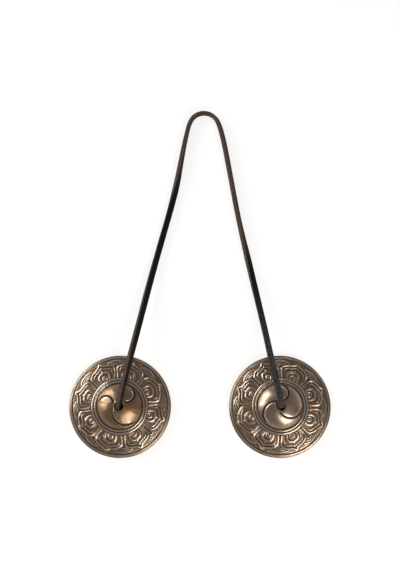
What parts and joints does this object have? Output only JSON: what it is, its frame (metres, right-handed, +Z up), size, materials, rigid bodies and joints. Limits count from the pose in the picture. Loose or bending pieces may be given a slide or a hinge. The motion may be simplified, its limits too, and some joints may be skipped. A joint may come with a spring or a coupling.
{
  "type": "tingsha cymbals",
  "caption": "Pair of small cast bronze hand cymbals with a lotus-petal flange and a swirl boss, joined through their bosses by a knotted leather lace.",
  "frame": {"origin": "on the table, midway between the holes of the two cymbals", "axes": "+X from the left cymbal to the right one, +Y along the lace to its loop, +Z up out of the domes"},
  "size_m": [0.1824, 0.2487, 0.0225],
  "materials": {
    "cymbal_bronze": "aged bronze, dark in the recesses and polished on the raised work",
    "lace_leather": "matt dyed leather with brown cut edges"
  },
  "bodies": {
    "left_knot": {"left_knot": "lace_leather", "left_lace_neck": "lace_leather"},
    "left_cymbal": {"left_cymbal": "cymbal_bronze"},
    "lace": {"lace_loop": "lace_leather", "left_lace_bend": "lace_leather", "left_lace_leg": "lace_leather", "left_lace_twist": "lace_leather", "right_lace_bend": "lace_leather", "right_lace_leg": "lace_leather", "right_lace_twist": "lace_leather"},
    "right_knot": {"right_knot": "lace_leather", "right_lace_neck": "lace_leather"},
    "right_cymbal": {"right_cymbal": "cymbal_bronze"}
  },
  "joints": [
    {"name": "left_spin", "type": "hinge", "parent": "left_knot", "child": "left_cymbal", "pos_m": [-0.0557, 0, 0.0149], "axis": [0, 0, 1], "continuous": true},
    {"name": "left_swing", "type": "hinge", "parent": "left_knot", "child": "lace", "pos_m": [-0.0557, 0.0015, 0.0199], "axis": [1, 0, 0], "range_deg": [0, 150], "deforming": ["left_lace_bend"]},
    {"name": "right_swing", "type": "hinge", "parent": "lace", "child": "right_knot", "pos_m": [0.0557, 0.0015, 0.0199], "axis": [-1, 0, 0], "range_deg": [0, 150], "deforming": ["right_lace_bend"]},
    {"name": "right_spin", "type": "hinge", "parent": "right_knot", "child": "right_cymbal", "pos_m": [0.0557, 0, 0.0149], "axis": [0, 0, 1], "continuous": true}
  ],
  "couplings": [
    {"joint": "right_swing", "follows": "left_swing", "ratio": 1}
  ]
}
